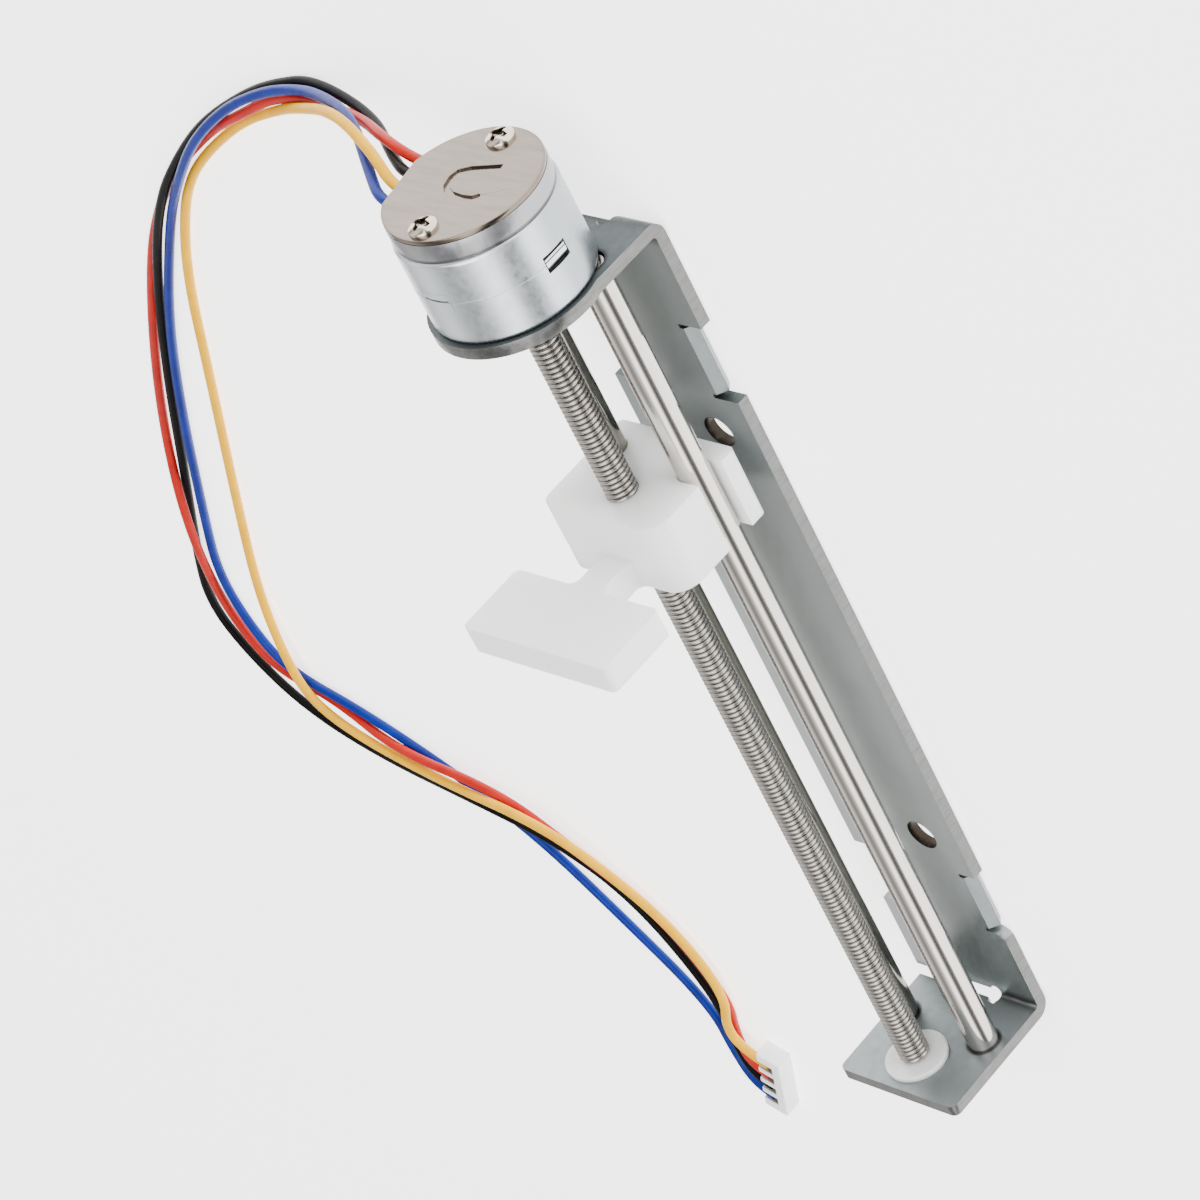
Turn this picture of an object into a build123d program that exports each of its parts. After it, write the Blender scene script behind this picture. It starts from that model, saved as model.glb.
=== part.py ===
from build123d import *
import math
import os

os.makedirs("parts", exist_ok=True)

# Stepper motor linear slide. Millimetres; X runs along the lead screw with the motor
# at the -X end, Z is up, and the slide lies on the feet under its back plate.

# Bracket: one bent piece of sheet steel
sheet = 1.6                 # sheet thickness
bend_inner = 0.5            # inside radius of the two bends
span = 125.0                # clear length between the two flanges
plate_half = 10.1           # half width of the back plate
lip_drop = 0.6              # how far the four bent lips stand below the plate
axis_height = 12.6          # screw axis above the plate's upper face
slot_edge = 4.1             # the bends join the flanges only beyond this Y
slot_floor = 0.9            # flange edge above the plate's upper face beside the bend
plate_setback = 0.7         # plate end short of the flange beside the bend
relief_radius = 0.8         # round end of the relief slots
far_left = 9.2              # far flange reaches this far to -Y
far_top = 5.2               # far flange's top edge above the screw axis
flange_crown = 0.5          # round top of the motor flange beyond the plate's edge
notch_ranges = ((-41.35, -30.25), (47.15, 57.25))
notch_roots = (6.3, 7.4)    # root of the lips from the centre line, one for each notch range
lip_reach = 1.73            # the lips stand this far out from their root
corner_radius = 0.6
foot_corner = 1.6           # corner beside the last notch
mount_hole = 4.3
mount_hole_y = 4.1
mount_hole_x = (-24.55, 41.45)

# Motor
motor_radius = 10.0
cup_wall = 0.6
cup_split = 5.95            # height of the seam between the two stator cups
cup_top = 11.4
cup_corner = 0.5            # outer corner radius of the drawn cups
seam_chamfer = 0.12
window_count = 4            # openings through the cups' walls at the seam
window_lean = 1.5           # degrees that the openings are turned about the axis
window_width = 3.6
window_half = 1.05          # half height of an opening
tab_clearance = 0.15        # pole plate tabs in the openings
claw_inner = 5.3
claw_outer = 5.8
claw_count = 5
claw_length = 4.2
bobbin_inner = 5.95
bobbin_outer = 9.2
coil_outer = 9.0
ring_radius = 9.75
ring_wall = 1.0
ring_top = 13.9
cover_margin = 0.05         # cover smaller than the ring, radially
cover_thick = 0.6
cover_chord = 9.0           # flat edge of the cover, from the axis
chord_turn = 11.2           # degrees that the flat edge is turned about the axis
screw_lean = 6.33           # degrees that the two cover screws are turned about the axis
boss_radius = 1.6
boss_overlap = 0.38         # the screw bosses run into the ring's wall by this much
screw_head = 3.5
screw_head_high = 1.1
screw_shank = 1.5
rear_plate_gap = 0.05
rear_plate_thick = 0.8
terminal_inset = 2.55       # terminal block's outer face inside the ring's radius
terminal_range = (-3.9, 4.8)
terminal_clear = 0.5        # ring opening past the terminal block, each end
tongue_slot = 0.7           # width of the curved slot in the cover
tongue_path = ((2.98, -3.58), (0.92, -2.94), (-0.96, -2.35), (-2.19, -1.64), (-2.44, -0.64),
               (-2.03, 0.64), (-1.30, 1.33), (-0.30, 1.78), (1.50, 1.97), (2.96, 1.81), (3.63, 1.32))
motor_height = ring_top + cover_thick
rear_plate_top = cup_top + rear_plate_gap + rear_plate_thick
cover_radius = ring_radius - cover_margin
screw_circle = ring_radius - ring_wall + boss_overlap - boss_radius
screw_y = screw_circle * math.sin(math.radians(screw_lean))
screw_z = screw_circle * math.cos(math.radians(screw_lean))
cover_screw_spots = ((-screw_y, -screw_z), (screw_y, screw_z))
claw_shift = 180.0 / claw_count

# Rotor and lead screw
magnet_diameter = 10.0
magnet_range = (1.2, 10.2)
sleeve_diameter = 5.0
sleeve_range = (0.9, 10.5)
screw_body = 3.9            # plain body that stands for the M4 x 0.7 thread
motor_journal = 2.5
front_bearing_radius = 3.0
rear_bearing_radius = 2.0
far_journal = 2.0
ball_diameter = 2.4
run_clearance = 0.04        # radial, shafts in their bearings
end_play = 0.1

# Guide rods
rod_diameter = 4.0
rod_half_pitch = 6.75
rod_drop = 5.4              # rods below the screw axis
rod_recess = 0.3            # rod ends stay inside the flanges by this much

# Far end bushing
bushing_flange = 8.3
bushing_flange_thick = 0.7
bushing_body = 5.0
bushing_tail = 0.5

# Slider, placed at its rest position
slider_range = (-25.7, -15.95)
slider_half = 9.4
slider_above = 4.8          # body top above the screw axis
slider_below = 10.0
slider_foot = 0.8           # rounding of the two lower edges
slide_clearance = 0.08      # radial, slider on its rods
nut_clearance = 0.05        # radial, nut bore on the screw body
finger_half = 11.7
finger_bottom = 10.2        # above the screw axis
finger_top = 20.2
finger_thick = 3.75
neck_half = 2.1

# Wires and plug
wire_diameter = 1.3
plug_pitch = 2.5
plug_center = (109.90, -56.76)    # X and Y of the middle of the wire entry face
plug_turn = -19.34           # degrees about Z
plug_row = 12.4
plug_deep = 5.8
plug_high = 4.4
contact_z = 2.2
window_inset = 0.7          # first window edge behind the wire entry face
window_long = 1.9

overall = bushing_tail + sheet + span + sheet + motor_height + screw_head_high
plate_bottom = lip_drop
plate_top = plate_bottom + sheet
axis_z = plate_top + axis_height
x_far = overall / 2 - bushing_tail - sheet
x_near = x_far - span
x_motor = x_near - sheet
rod_z = axis_z - rod_drop
flange_radius = plate_half + flange_crown
slot_z = plate_top + slot_floor


def rod_x(x0, x1, radius, y=0.0, z=axis_z):
    """Round bar along X between two X values."""
    return Pos((x0 + x1) / 2, y, z) * Rot(0, 90, 0) * Cylinder(radius, abs(x1 - x0))


def block(x0, x1, y0, y1, z0, z1):
    """Box given by its six faces."""
    centre = Pos((x0 + x1) / 2, (y0 + y1) / 2, (z0 + z1) / 2)
    return centre * Box(abs(x1 - x0), abs(y1 - y0), abs(z1 - z0))


def tube_x(x0, x1, outer, inner):
    """Round tube on the screw axis."""
    return rod_x(x0, x1, outer) - rod_x(min(x0, x1) - 1, max(x0, x1) + 1, inner)


def h(height):
    """X of a height above the motor flange's outer face."""
    return x_motor - height


def prism_x(points, x0, x1):
    """Polygon of (Y, Z) points carried along X."""
    face = Plane.YZ * make_face(Polyline(*[(y, z) for y, z in points], close=True))
    return Pos(x0, 0, 0) * extrude(face, amount=x1 - x0, dir=(1, 0, 0))


def single(shape):
    """The one solid of a shape, as a plain solid."""
    return shape.solids()[0] if len(shape.solids()) == 1 else shape


def bracket():
    # bent strip on the +Y side, cut as a U with rounded inside and outside bends
    top = axis_z + far_top
    outer = block(x_motor, x_far + sheet, slot_edge, plate_half, plate_bottom, top)
    low = outer.edges().filter_by(Axis.Y).sort_by(Axis.Z)[:2]
    outer = fillet(low, bend_inner + sheet)
    inner = block(x_near, x_far, slot_edge - 1, plate_half + 1, plate_top, top + 1)
    low = inner.edges().filter_by(Axis.Y).sort_by(Axis.Z)[:2]
    strip = outer - fillet(low, bend_inner)
    # everything above the motor flange's bend is shaped by the round top instead
    strip -= block(x_motor - 1, x_near + 0.01, 0, plate_half + 1, axis_z, top + 1)
    plate = block(x_near + plate_setback, x_far - plate_setback, -plate_half, slot_edge + 0.01,
                  plate_bottom, plate_top)
    far = block(x_far, x_far + sheet, -far_left, slot_edge + 0.01, slot_z, top)
    near = block(x_motor, x_near, -plate_half, slot_edge + 0.01, slot_z, axis_z)
    near += rod_x(x_motor, x_near, flange_radius)
    body = strip + plate + far + near
    # edge notches where the lips are bent out
    for (x0, x1), root in zip(notch_ranges, notch_roots):
        for side in (-1, 1):
            body -= block(x0, x1, side * root, side * (plate_half + 1), plate_bottom - 1, plate_top + 1)
    corners = []
    feet = []
    for edge in body.edges().filter_by(Axis.Z):
        spot = edge.center()
        in_plate = plate_bottom < spot.Z < plate_top
        if in_plate and abs(spot.Y - plate_half) < 0.01 and edge.length > sheet - 0.1:
            (feet if spot.X > notch_ranges[1][0] + 1 else corners).append(edge)
    body = fillet(corners, corner_radius)
    body = fillet(feet[:1], foot_corner)
    tops = []
    for edge in body.edges().filter_by(Axis.X):
        spot = edge.center()
        if abs(spot.Z - top) < 0.01 and spot.X > 0:
            tops.append(edge)
    body = fillet(tops, 1.0)
    fold = sheet * math.tan(math.radians(22.5))
    slope = plate_top - (lip_reach - fold)
    for (x0, x1), root in zip(notch_ranges, notch_roots):
        for side in (-1, 1):
            section = ((root - 0.5, plate_bottom), (root, plate_bottom),
                       (root + lip_drop, 0.0), (root + lip_drop + 0.25, 0.0),
                       (root + lip_reach, slope - 0.13), (root + lip_reach, slope),
                       (root + fold, plate_top), (root - 0.5, plate_top))
            body += prism_x([(side * y, z) for y, z in section], x0 + 0.6, x1 - 0.6)
    # relief slots at the inner ends of the bends, with round ends in flange and plate
    slot_y = slot_edge - relief_radius
    for x0, x1, x in ((x_motor - 1, x_near + 1, x_near + plate_setback - 0.2),
                      (x_far - 1, x_far + sheet + 1, x_far - plate_setback + 0.2)):
        body -= rod_x(x0, x1, relief_radius, slot_y, slot_z - 0.2)
        body -= Pos(x, slot_y, plate_bottom) * Cylinder(relief_radius, 4 * sheet)
    for x in mount_hole_x:
        body -= Pos(x, mount_hole_y, plate_bottom) * Cylinder(mount_hole / 2, 4 * sheet)
    for y in (-rod_half_pitch, rod_half_pitch):
        body -= rod_x(x_motor - 1, x_near + 1, rod_diameter / 2, y, rod_z)
        body -= rod_x(x_far - 1, x_far + sheet + 1, rod_diameter / 2, y, rod_z)
    body -= rod_x(x_motor - 1, x_near + 1, front_bearing_radius)
    body -= rod_x(x_far - 1, x_far + sheet + 1, bushing_body / 2)
    return single(body)


def guide_rod(y):
    rod = rod_x(x_motor + rod_recess, x_far + sheet - rod_recess, rod_diameter / 2, y, rod_z)
    return chamfer(rod.edges().filter_by(GeomType.CIRCLE), 0.25)


def claws(base, tip, turn):
    """Ring of tapered pole claws from a base height to a tip height."""
    wide = claw_outer * math.radians(15)
    narrow = claw_outer * math.radians(6.5)
    shapes = None
    for number in range(claw_count):
        outline = Polyline((h(base), -wide), (h(tip), -narrow), (h(tip), narrow), (h(base), wide), close=True)
        wedge = extrude(make_face(outline), amount=2.0)
        wedge = Pos(0, 0, claw_inner - 1.0) * wedge
        wedge = Pos(0, 0, axis_z) * Rot(360.0 * number / claw_count + turn, 0, 0) * wedge
        shapes = wedge if shapes is None else shapes + wedge
    return shapes & tube_x(h(min(base, tip)), h(max(base, tip)), claw_outer, claw_inner)


def around(shape, count, turn):
    """Copies of a shape spaced evenly about the screw axis, turned from the top to +Y."""
    shape = Pos(0, 0, -axis_z) * shape
    step = 360.0 / count
    return [Pos(0, 0, axis_z) * Rot(-turn - step * number, 0, 0) * shape for number in range(count)]


def stator_cup(floor_height, open_height, turn):
    """Drawn steel cup: floor with claws bent up from its hole, and an outer wall."""
    step = cup_wall if open_height > floor_height else -cup_wall
    wall = tube_x(h(floor_height), h(open_height), motor_radius, motor_radius - cup_wall)
    floor = tube_x(h(floor_height), h(floor_height + step), motor_radius, claw_inner)
    tip = floor_height + step + math.copysign(claw_length, step)
    body = wall + floor
    rims = []
    seams = []
    for edge in body.edges().filter_by(GeomType.CIRCLE):
        if abs(edge.radius - motor_radius) < 0.01:
            (rims if abs(edge.center().X - h(floor_height)) < 0.01 else seams).append(edge)
    body = chamfer(seams, seam_chamfer)
    rims = [edge for edge in body.edges().filter_by(GeomType.CIRCLE)
            if abs(edge.radius - motor_radius) < 0.01 and abs(edge.arc_center.X - h(floor_height)) < 0.01]
    body = fillet(rims, cup_corner)
    opening = block(h(cup_split - window_half), h(cup_split + window_half),
                    -window_width / 2, window_width / 2,
                    axis_z + motor_radius - 2 * cup_wall, axis_z + motor_radius + 1)
    for cut in around(opening, window_count, window_lean):
        body -= cut
    return single(body + claws(floor_height + step / 2, tip, turn))


def pole_plate(low, high, up, turn):
    disc = tube_x(h(low), h(high), motor_radius - cup_wall - 0.05, claw_inner)
    middle = (low + high) / 2
    tip = high + claw_length if up else low - claw_length
    half = window_width / 2 - tab_clearance
    tab = block(h(low), h(high), -half, half, axis_z + motor_radius - 3 * cup_wall,
                axis_z + motor_radius - cup_wall / 3)
    for copy in around(tab, window_count, window_lean):
        disc += copy
    return single(disc + claws(middle, tip, turn))


def bobbin(low, high):
    body = tube_x(h(low), h(high), bobbin_outer, bobbin_inner)
    body -= tube_x(h(low + 0.4), h(high - 0.4), bobbin_outer + 1, bobbin_inner + 0.35)
    return single(body)


def coil(low, high):
    return single(tube_x(h(low + 0.4), h(high - 0.4), coil_outer, bobbin_inner + 0.35))


def end_ring():
    body = tube_x(h(cup_top), h(ring_top), ring_radius, ring_radius - ring_wall)
    for y, z in cover_screw_spots:
        body += rod_x(h(rear_plate_top + 0.1), h(ring_top), boss_radius, y, axis_z + z)
    body &= rod_x(h(cup_top), h(ring_top), ring_radius)
    for y, z in cover_screw_spots:
        body -= rod_x(h(rear_plate_top), h(ring_top + 1), screw_shank / 2, y, axis_z + z)
    low, high = terminal_range
    body -= block(h(rear_plate_top - 0.05), h(ring_top + 1),
                  -ring_radius - 1, 0.05 - ring_radius + terminal_inset,
                  axis_z + low - terminal_clear, axis_z + high + terminal_clear)
    return single(body)


def rear_bearing_plate():
    body = rod_x(h(cup_top + rear_plate_gap), h(rear_plate_top), ring_radius - ring_wall)
    return single(body - rod_x(h(cup_top - 1), h(ring_top), rear_bearing_radius))


def rear_bearing():
    seat = cup_top + rear_plate_gap
    body = rod_x(h(seat - 0.55), h(seat + 1.65), rear_bearing_radius)
    body += rod_x(h(seat - 0.55), h(seat), rear_bearing_radius + 0.6)
    return single(body - rod_x(h(seat - 2), h(ring_top + 1), motor_journal / 2 + run_clearance))


def front_bearing():
    body = rod_x(h(-sheet - 0.5), h(0.5), front_bearing_radius)
    body += rod_x(h(-sheet - 0.5), h(-sheet), front_bearing_radius + 0.9)
    return single(body - rod_x(h(-sheet - 1), h(1), motor_journal / 2 + run_clearance))


def end_cover():
    body = rod_x(h(ring_top), h(motor_height), cover_radius)
    cut = block(h(motor_height + 1), h(ring_top - 1), -20, -cover_chord, -20, 20)
    body -= Pos(0, 0, axis_z) * Rot(-chord_turn, 0, 0) * cut
    for y, z in cover_screw_spots:
        body -= rod_x(h(ring_top - 1), h(motor_height + 1), screw_shank / 2 + 0.15, y, axis_z + z)
    for (y0, z0), (y1, z1) in zip(tongue_path[:-1], tongue_path[1:]):
        length = math.hypot(y1 - y0, z1 - z0)
        lean = math.degrees(math.atan2(z1 - z0, y1 - y0))
        bar = Pos(0, (y0 + y1) / 2, axis_z + (z0 + z1) / 2) * Rot(lean, 0, 0) * Box(4, length, tongue_slot)
        body -= Pos(h(motor_height), 0, 0) * bar
        body -= rod_x(h(ring_top - 1), h(motor_height + 1), tongue_slot / 2, y1, axis_z + z1)
    return single(body)


def cover_screws():
    parts = []
    for y, z in cover_screw_spots:
        head = rod_x(h(motor_height), h(motor_height + screw_head_high), screw_head / 2, y, axis_z + z)
        rim = head.edges().filter_by(GeomType.CIRCLE).sort_by(Axis.X)[0]
        head = fillet(rim, 0.6)
        shank = rod_x(h(rear_plate_top + 0.25), h(motor_height + 0.2), screw_shank / 2, y, axis_z + z)
        parts.append(single(head + shank))
    return Compound(children=parts)


def lead_screw():
    shoulder = x_near + 0.5 + 0.3
    thread_end = x_far - bushing_flange_thick - 0.4
    body = rod_x(shoulder, thread_end, screw_body / 2)
    ends = body.edges().filter_by(GeomType.CIRCLE)
    body = chamfer(ends, 0.4)
    ball_low = ring_top - ball_diameter
    body += rod_x(h(ball_low - end_play), shoulder + 0.1, motor_journal / 2)
    body += rod_x(thread_end - 0.1, x_far + sheet + bushing_tail - 0.1, far_journal / 2)
    return single(body)


def thrust_ball():
    return Pos(h(ring_top - ball_diameter / 2), 0, axis_z) * Sphere(ball_diameter / 2)


def rotor_sleeve():
    return single(tube_x(h(sleeve_range[0]), h(sleeve_range[1]), sleeve_diameter / 2, motor_journal / 2))


def rotor_magnet():
    body = tube_x(h(magnet_range[0]), h(magnet_range[1]), magnet_diameter / 2, sleeve_diameter / 2)
    return single(chamfer(body.edges().filter_by(GeomType.CIRCLE).group_by(SortBy.RADIUS)[-1], 0.3))


def far_end_bushing():
    body = rod_x(x_far - bushing_flange_thick, x_far, bushing_flange / 2)
    body = fillet(body.edges().filter_by(GeomType.CIRCLE).sort_by(Axis.X)[0], 0.2)
    body += rod_x(x_far - 0.1, x_far + sheet + bushing_tail, bushing_body / 2)
    return single(body - rod_x(x_far - 2, x_far + 4, far_journal / 2 + run_clearance))


def terminal_block():
    face = terminal_inset - ring_radius
    low, high = terminal_range
    body = block(h(rear_plate_top + 0.1), h(ring_top - 0.05), face, face + 2.0, axis_z + low, axis_z + high)
    for number in (1, 2, 3):
        z = axis_z + low + 2.3 * number - 0.15
        body -= block(h(rear_plate_top + 0.75), h(ring_top + 0.1), face - 0.1, face + 1.0, z - 0.2, z + 0.2)
    return single(body)


def slider():
    x0, x1 = slider_range
    top = axis_z + slider_above
    body = block(x0, x1, -slider_half, slider_half, axis_z - slider_below, top)
    for y, radius in ((-slider_half, 1.8), (slider_half, 3.0)):
        edge = body.edges().filter_by(Axis.X).filter_by(lambda e: abs(e.center().Y - y) < 0.01
                                                        and abs(e.center().Z - top) < 0.01)
        body = fillet(edge, radius)
    body = fillet(body.edges().filter_by(Axis.X).sort_by(Axis.Z)[:2], slider_foot)
    neck = block(x1 - finger_thick, x1, -neck_half, neck_half, top - 0.5, axis_z + finger_bottom + 0.5)
    finger = block(x1 - finger_thick, x1, -finger_half, finger_half,
                   axis_z + finger_bottom, axis_z + finger_top)
    finger = fillet(finger.edges().filter_by(Axis.X), 0.8)
    body = body + neck + finger
    roots = []
    for edge in body.edges().filter_by(Axis.X):
        spot = edge.center()
        at_neck = abs(abs(spot.Y) - neck_half) < 0.01
        if at_neck and min(abs(spot.Z - top), abs(spot.Z - axis_z - finger_bottom)) < 0.01:
            roots.append(edge)
    body = fillet(roots, 1.2)
    bore = rod_diameter / 2 + slide_clearance
    body -= rod_x(x0 - 1, x1 + 1, bore, -rod_half_pitch, rod_z)
    body -= rod_x(x0 - 1, x1 + 1, bore, rod_half_pitch, rod_z)
    body -= block(x0 - 1, x1 + 1, rod_half_pitch, slider_half + 1, rod_z - bore, rod_z + bore)
    body -= rod_x(x0 - 1, x1 + 1, screw_body / 2 + nut_clearance)
    return single(body)


def at_plug(shape):
    """Carry a shape from the plug's own frame, wire entry face at Y 0, to its place."""
    return Pos(plug_center[0], plug_center[1], 0) * Rot(0, 0, plug_turn) * shape


def plug_housing():
    body = block(-plug_row / 2, plug_row / 2, 0, plug_deep, 0.0, plug_high)
    body = chamfer(body.edges().filter_by(Axis.Y), 0.4)
    for number in range(4):
        x = (number - 1.5) * plug_pitch
        body -= block(x - 0.85, x + 0.85, 1.2, plug_deep + 1, contact_z - 0.85, contact_z + 0.85)
        body -= block(x - 0.65, x + 0.65, window_inset, window_inset + window_long, contact_z, plug_high + 1)
    return at_plug(single(body))


def plug_contacts():
    parts = []
    for number in range(4):
        x = (number - 1.5) * plug_pitch
        shell = block(x - 0.8, x + 0.8, 1.2, plug_deep - 0.4, contact_z - 0.85, contact_z + 0.8)
        shell -= block(x - 0.5, x + 0.5, 3.0, plug_deep, contact_z - 0.5, contact_z + 0.5)
        shell += block(x - 0.4, x + 0.4, 1.4, 2.2, contact_z + 0.7, contact_z + 1.1)
        parts.append(at_plug(single(shell)))
    return Compound(children=parts)


# Wire routes as (X, Y, Z) points: out of the motor's ring, down to the floor, round
# one wide arch beside the slide, and into the plug. Colours cross over each other.
routes = {
    "red": (
        (-69.6, -7.2, 11.9), (-69.6, -10.6, 11.8), (-70.8, -16.8, 10.7), (-68.6, -27.6, 5.9),
        (-64.3, -48.6, 0.7), (-59.7, -59.4, 2.4), (-55, -68.4, 0.7), (-47.3, -79.9, 0.7),
        (-39.4, -89, 0.7), (-29.2, -97.8, 0.7), (-10.5, -109.9, 0.9), (8.3, -120, 1),
        (22.2, -122.7, 3.2), (38.7, -129.3, 1.2), (49.3, -128.1, 0.8), (52.9, -123.5, 0.9),
        (55.8, -114.9, 0.7), (60.1, -103.7, 2.5), (63.2, -85.1, 1.8), (72, -76.2, 1),
        (80.8, -64.8, 0.7), (95.8, -59.2, 0.7), (104, -62, 0.7), (107.63, -59.46, 2.2),
        (108.72, -56.35, 2.2),
    ),
    "black": (
        (-69.6, -7.2, 14.2), (-69.6, -10.6, 14.1), (-68.9, -16.2, 11.3), (-67.9, -26, 4.9),
        (-67.4, -41.2, 0.7), (-65.4, -49.5, 0.7), (-62.6, -56.9, 0.7), (-57.9, -66.3, 2.1),
        (-51.1, -75.5, 2.2), (-42.3, -85.2, 2.4), (-27.5, -97.4, 1.1), (-6.1, -110.3, 0.7),
        (13.7, -120.2, 0.7), (31.3, -129.4, 0.7), (41.3, -133.5, 0.7), (49.9, -131.5, 0.7),
        (59.2, -124.8, 0.7), (64.8, -111.8, 0.9), (65.7, -90.4, 2.6), (71.5, -80.4, 0.8),
        (79.1, -68.6, 0.7), (95.8, -61.8, 0.7), (105.8, -63.2, 0.7), (110.04, -60.15, 2.2),
        (111.08, -57.18, 2.2),
    ),
    "blue": (
        (-69.6, -7.2, 18.8), (-69.6, -10.6, 18.7), (-69.8, -15.8, 15.1), (-70.8, -25.1, 8.1),
        (-68.3, -37.5, 3.5), (-66.6, -44.5, 2.2), (-65.2, -50.5, 2.3), (-61.8, -58.9, 2.7),
        (-56.1, -67.8, 3.6), (-47.6, -77.2, 3), (-36.9, -88.5, 0.8), (-18.6, -101.2, 1),
        (-1, -111, 0.8), (21.2, -121.2, 0.8), (34.3, -126.8, 0.8), (45.1, -126.3, 0.8),
        (51.6, -122.3, 1.1), (56.2, -109.2, 0.9), (64.9, -93.8, 0.7), (72.4, -82.4, 1.1),
        (83.9, -74.8, 0.7), (98.7, -64.3, 0.7), (108.5, -64.6, 0.7), (112.4, -60.98, 2.2),
        (113.44, -58.01, 2.2),
    ),
    "yellow": (
        (-69.6, -7.2, 16.5), (-69.6, -10.6, 16.4), (-71.8, -15.8, 13.6), (-72, -26.5, 9.1),
        (-65.5, -42.2, 3.8), (-61.7, -50.7, 1.3), (-57.9, -60.3, 0.7), (-51.8, -70.5, 0.7),
        (-46.2, -78, 0.7), (-39.2, -84.2, 0.7), (-27, -91.9, 0.7), (-8.2, -100.1, 0.7),
        (15.6, -110.7, 0.7), (35.1, -118.9, 0.8), (46.7, -119.3, 2.2), (54, -118.3, 2.7),
        (59, -111.6, 2.8), (63.8, -97.1, 2.5), (64.6, -77.6, 3.6), (72.4, -70.8, 1.9),
        (81.9, -61.9, 1.5), (93.3, -57.5, 1.8), (101.2, -61.1, 2.3), (105.32, -58.49, 2.2),
        (106.36, -55.52, 2.2),
    ),
}


def wire(name, points):
    runs = [math.dist(a, b) for a, b in zip(points[:-1], points[1:])]
    radii = []
    for number in range(1, len(points) - 1):
        before = Vector(*points[number]) - Vector(*points[number - 1])
        after = Vector(*points[number + 1]) - Vector(*points[number])
        half = math.radians(before.get_angle(after)) / 2
        radii.append(0.45 * min(runs[number - 1], runs[number]) / math.tan(half))
    line = FilletPolyline(*points, radius=radii)
    start = Plane(origin=line @ 0, z_dir=line % 0)
    shape = sweep(start * Circle(wire_diameter / 2), path=line)
    length = line.length
    print(name, "length %.1f" % length, "least bend radius %.1f" % min(radii),
          "volume ratio %.4f" % (shape.volume / (math.pi * wire_diameter ** 2 / 4 * length)))
    return single(shape)


nodes = {
    "bracket": bracket(),
    "guide_rod_left": guide_rod(-rod_half_pitch),
    "guide_rod_right": guide_rod(rod_half_pitch),
    "lead_screw": lead_screw(),
    "rotor_magnet": rotor_magnet(),
    "rotor_sleeve": rotor_sleeve(),
    "front_bearing": front_bearing(),
    "lower_stator_cup": stator_cup(0.0, cup_split, 0.0),
    "upper_stator_cup": stator_cup(cup_top, cup_split, claw_shift / 2),
    "lower_pole_plate": pole_plate(cup_split - cup_wall, cup_split, False, claw_shift),
    "upper_pole_plate": pole_plate(cup_split, cup_split + cup_wall, True, 1.5 * claw_shift),
    "lower_bobbin": bobbin(cup_wall, cup_split - cup_wall),
    "upper_bobbin": bobbin(cup_split + cup_wall, cup_top - cup_wall),
    "lower_coil": coil(cup_wall, cup_split - cup_wall),
    "upper_coil": coil(cup_split + cup_wall, cup_top - cup_wall),
    "end_ring": end_ring(),
    "rear_bearing_plate": rear_bearing_plate(),
    "rear_bearing": rear_bearing(),
    "thrust_ball": thrust_ball(),
    "end_cover": end_cover(),
    "cover_screws": cover_screws(),
    "terminal_block": terminal_block(),
    "far_end_bushing": far_end_bushing(),
    "slider": slider(),
    "plug_housing": plug_housing(),
    "plug_contacts": plug_contacts(),
}
for colour, points in routes.items():
    nodes["wire_" + colour] = wire("wire_" + colour, points)

for node, shape in nodes.items():
    export_step(shape, "parts/" + node + ".step")
    box = shape.bounding_box()
    print("%-20s %7.1f %7.1f %7.1f to %7.1f %7.1f %7.1f solids %d" % (
        node, box.min.X, box.min.Y, box.min.Z, box.max.X, box.max.Y, box.max.Z, len(shape.solids())))
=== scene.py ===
import bpy
import math
from mathutils import Matrix, Vector


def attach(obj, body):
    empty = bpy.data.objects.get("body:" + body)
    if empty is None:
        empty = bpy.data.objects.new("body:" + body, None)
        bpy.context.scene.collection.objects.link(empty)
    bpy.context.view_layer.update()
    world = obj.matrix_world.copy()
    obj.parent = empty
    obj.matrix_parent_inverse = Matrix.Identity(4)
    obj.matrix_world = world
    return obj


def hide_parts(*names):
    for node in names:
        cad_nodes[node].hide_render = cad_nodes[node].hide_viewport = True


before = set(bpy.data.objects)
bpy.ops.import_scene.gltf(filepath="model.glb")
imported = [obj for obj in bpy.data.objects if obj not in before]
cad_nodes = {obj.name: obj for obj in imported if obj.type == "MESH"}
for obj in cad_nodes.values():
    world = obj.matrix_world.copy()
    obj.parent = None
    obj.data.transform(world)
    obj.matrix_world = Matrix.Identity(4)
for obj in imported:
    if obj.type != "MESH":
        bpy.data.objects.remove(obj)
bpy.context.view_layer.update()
scene = bpy.context.scene

# Places and sizes in millimetres
MM = 0.001
AXIS_Z = 14.8            # lead screw axis above the floor
MOTOR_RADIUS = 10.0
X_FAR = 70.05            # inner face of the far flange
X_NEAR = -54.95          # inner face of the motor flange
X_MOTOR = -56.55         # outer face of the motor flange
X_SEAM = X_MOTOR - 5.95  # where the two stator cups meet
COVER_FACE = X_MOTOR - 14.5
ROD_Y = 6.75
ROD_Z = 9.4
HOLES_X = (-24.55, 41.45)
HOLES_Y = 4.1

# Materials
EVEN = (1, 1, 1)
NOISE_LOW = 0.3          # most of a noise's values lie between these two
NOISE_HIGH = 0.7
METAL_RELIEF = 0.02 * MM
PLASTIC_RELIEF = 0.03 * MM
SCATTER = (1.0, 0.95, 0.9)    # how far red, green and blue light spread in milky plastic


def new_mat(name):
    """A new node material with its tree and its shader."""
    mat = bpy.data.materials.new(name)
    mat.use_nodes = True
    tree = mat.node_tree
    return mat, tree, tree.nodes["Principled BSDF"]


def node(tree, kind, **values):
    """A new node with some of its properties set."""
    made = tree.nodes.new(kind)
    for key, value in values.items():
        setattr(made, key, value)
    return made


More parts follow.
